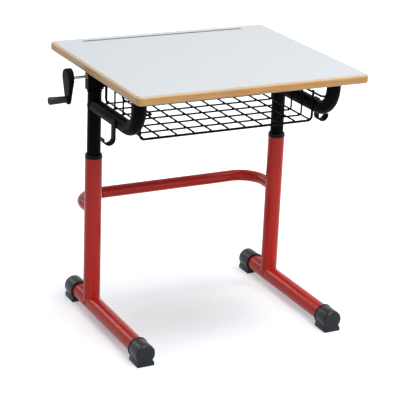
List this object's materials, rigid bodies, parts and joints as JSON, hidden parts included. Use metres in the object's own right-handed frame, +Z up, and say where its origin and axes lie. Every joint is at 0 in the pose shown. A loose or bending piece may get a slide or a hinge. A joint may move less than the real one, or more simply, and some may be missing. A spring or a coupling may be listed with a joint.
{
  "type": "height-adjustable desk",
  "caption": "School desk on telescopic columns: a hand crank turns lifting screws through a cross shaft, under a framed top with a pencil groove, wire basket and bag hooks.",
  "frame": {"origin": "on the floor, under the middle of the whole desk's box with the crank and the hooks counted", "axes": "+X to the right of the person seated, away from the crank; +Y from the person to the back edge; +Z up"},
  "size_m": [0.7974, 0.625, 0.782],
  "materials": {
    "red_coat": "glossy red powder coat on steel tube",
    "black_coat": "satin black powder coat on steel",
    "black_plastic": "moulded black plastic",
    "bare_steel": "zinc-plated or bare machined steel",
    "bronze": "cast bronze, machined",
    "laminate": "pale grey decorative laminate, fine matt texture",
    "beech": "clear-lacquered solid beech",
    "chipboard": "raw chipboard"
  },
  "bodies": {
    "base": {"left_foot_tube": "red_coat", "right_foot_tube": "red_coat", "left_front_foot_cap": "black_plastic", "right_front_foot_cap": "black_plastic", "left_rear_foot_cap": "black_plastic", "right_rear_foot_cap": "black_plastic", "left_outer_column": "red_coat", "right_outer_column": "red_coat", "left_guide_collar": "black_plastic", "right_guide_collar": "black_plastic", "rear_stretcher": "red_coat", "left_nut_post": "bare_steel", "right_nut_post": "bare_steel", "left_spindle_nut": "bronze", "right_spindle_nut": "bronze", "post_discs": "bare_steel"},
    "lift": {"left_inner_column": "black_coat", "right_inner_column": "black_coat", "left_lower_glide": "black_plastic", "right_lower_glide": "black_plastic", "left_arm": "black_coat", "right_arm": "black_coat", "left_arm_plate": "black_coat", "right_arm_plate": "black_coat", "left_gear_housing": "black_coat", "right_gear_housing": "black_coat", "left_bearing_plate": "black_coat", "right_bearing_plate": "black_coat", "shaft_bushes": "bronze", "spindle_bushes": "bronze", "gear_covers": "black_coat", "top_core": "chipboard", "top_laminate": "laminate", "bottom_laminate": "laminate", "front_lipping": "beech", "rear_lipping": "beech", "left_lipping": "beech", "right_lipping": "beech", "arm_plate_screws": "bare_steel", "housing_screws": "bare_steel", "basket_front_rod": "black_coat", "basket_cross_wires": "black_coat", "basket_long_wires": "black_coat", "basket_rail": "black_coat", "basket_lugs": "black_coat", "left_bag_hook": "black_coat", "right_bag_hook": "black_coat"},
    "crank": {"drive_shaft": "bare_steel", "left_drive_gear": "bare_steel", "right_drive_gear": "bare_steel", "crank_arm": "black_plastic", "crank_set_screw": "bare_steel", "grip_pin": "bare_steel"},
    "grip": {"crank_grip": "black_plastic"},
    "left_lifting_screw": {"left_spindle": "bare_steel", "left_spindle_gear": "bare_steel", "left_spindle_stop": "bare_steel"},
    "right_lifting_screw": {"right_spindle": "bare_steel", "right_spindle_gear": "bare_steel", "right_spindle_stop": "bare_steel"}
  },
  "joints": [
    {"name": "height", "type": "slide", "parent": "base", "child": "lift", "axis": [0, 0, 1], "range_m": [-0.11, 0.04]},
    {"name": "crank_turn", "type": "hinge", "parent": "lift", "child": "crank", "pos_m": [-0.26017, 0.093, 0.73], "axis": [1, 0, 0], "range_deg": [-7920, 2880]},
    {"name": "grip_spin", "type": "hinge", "parent": "crank", "child": "grip", "pos_m": [-0.373, 0.093, 0.669], "axis": [1, 0, 0], "continuous": true},
    {"name": "left_screw_turn", "type": "hinge", "parent": "lift", "child": "left_lifting_screw", "pos_m": [-0.26017, 0.093, 0.7], "axis": [0, 0, 1], "range_deg": [-7920, 2880]},
    {"name": "right_screw_turn", "type": "hinge", "parent": "lift", "child": "right_lifting_screw", "pos_m": [0.34282, 0.093, 0.7], "axis": [0, 0, 1], "range_deg": [-7920, 2880]}
  ],
  "couplings": [
    {"joint": "crank_turn", "follows": "height", "rad_per_m": 1256.6},
    {"joint": "left_screw_turn", "follows": "height", "rad_per_m": 1256.6},
    {"joint": "right_screw_turn", "follows": "height", "rad_per_m": 1256.6}
  ]
}
